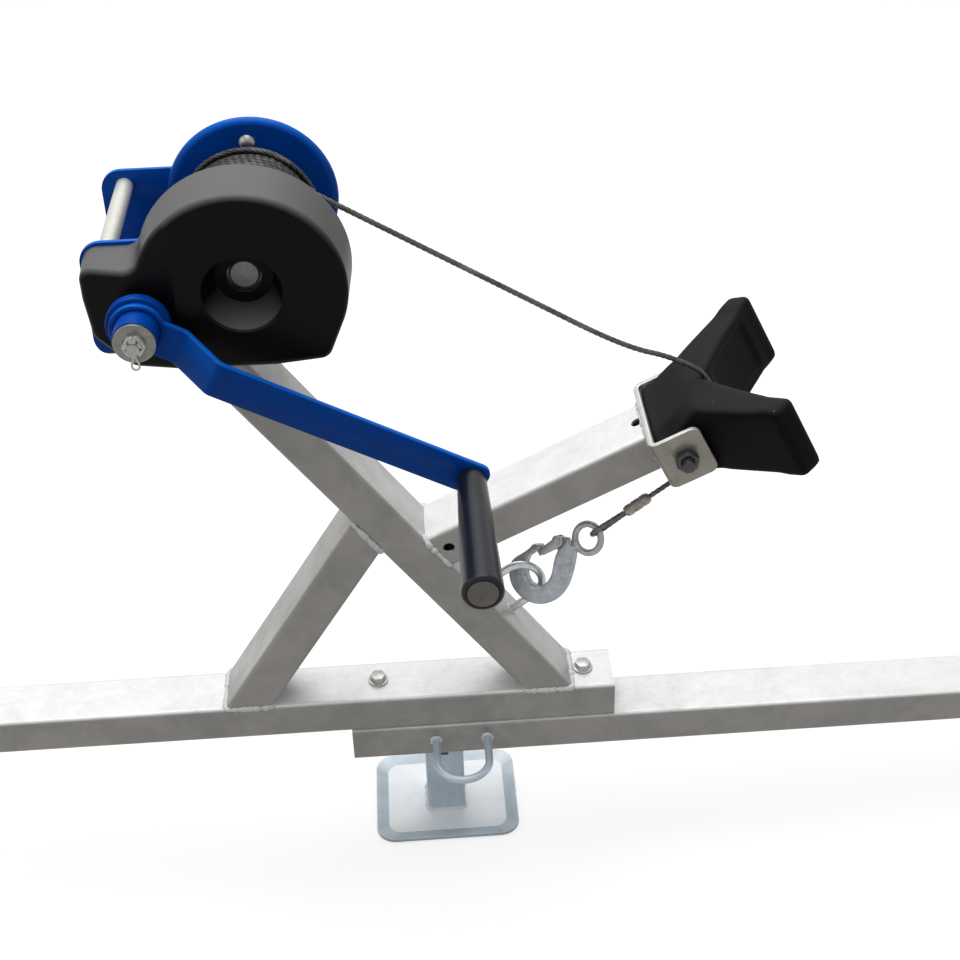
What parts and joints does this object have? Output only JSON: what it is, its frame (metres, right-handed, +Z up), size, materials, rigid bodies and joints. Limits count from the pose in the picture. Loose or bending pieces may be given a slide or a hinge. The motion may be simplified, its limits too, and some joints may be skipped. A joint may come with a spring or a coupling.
{
  "type": "boat trailer winch stand",
  "caption": "Galvanised winch stand on a bolted drawbar joint with foot pad, hand winch with crank, wire rope and hook, and a rubber bow stop.",
  "frame": {"origin": "middle of the foot pad's underside", "axes": "+X to the rear, towards the boat; +Z up; -Y to the side that the crank handle stands on"},
  "size_m": [1.18, 0.4182, 0.7755],
  "materials": {
    "zinc_tube": "hot-dip galvanised, spangled",
    "zinc_plated": "bright zinc-plated fasteners and rods",
    "cast_zinc": "galvanised casting, dull",
    "blue_paint": "gloss enamel",
    "black_plastic": "moulded, satin sides",
    "black_rubber": "moulded rubber, dusty",
    "grip_plastic": "satin",
    "wire_rope": "laid wire strands, oiled",
    "ferrule_metal": "pressed sleeve",
    "steel": "plain turned steel"
  },
  "bodies": {
    "stand": {"front_drawbar_tube": "zinc_tube", "rear_drawbar_tube": "zinc_tube", "drawbar_bolts": "zinc_plated", "drawbar_nuts": "zinc_plated", "foot_leg": "zinc_tube", "foot_plate": "zinc_tube", "tie_down_loop": "zinc_tube", "post_tube": "zinc_tube", "brace_tube": "zinc_tube", "bow_arm_tube": "zinc_tube", "catch_eye": "zinc_tube", "stop_bracket": "zinc_tube", "bow_stop": "black_rubber", "bracket_bolt": "steel", "bracket_nut": "steel", "winch_bed": "zinc_tube", "winch_frame": "blue_paint", "winch_bolts": "zinc_plated", "winch_nuts": "zinc_plated", "frame_tie_rod": "zinc_plated", "gear_cover": "black_plastic", "hook": "cast_zinc", "hook_latch": "zinc_plated", "latch_rivet": "zinc_plated", "rope_line": "wire_rope", "rope_loop": "wire_rope", "rope_ferrule": "ferrule_metal"},
    "drum": {"drum": "blue_paint", "drum_axle": "steel", "rope_turns": "wire_rope", "rope_clamp_bolt": "zinc_plated", "drum_gear": "steel"},
    "crank": {"pinion_shaft": "steel", "crank_hub": "blue_paint", "crank_arm": "blue_paint", "hub_washer": "zinc_plated", "castle_nut": "zinc_plated", "grip_spindle": "steel"},
    "grip": {"grip": "grip_plastic"}
  },
  "joints": [
    {"name": "drum_spin", "type": "hinge", "parent": "stand", "child": "drum", "pos_m": [-0.138, 0, 0.6905], "axis": [0, 1, 0], "continuous": true},
    {"name": "crank_spin", "type": "hinge", "parent": "stand", "child": "crank", "pos_m": [-0.21978, 0, 0.67132], "axis": [0, 1, 0], "continuous": true},
    {"name": "grip_spin", "type": "hinge", "parent": "crank", "child": "grip", "pos_m": [0.03308, 0, 0.53346], "axis": [0, 1, 0], "continuous": true}
  ],
  "couplings": [
    {"joint": "crank_spin", "follows": "drum_spin", "ratio": -2.7333}
  ]
}
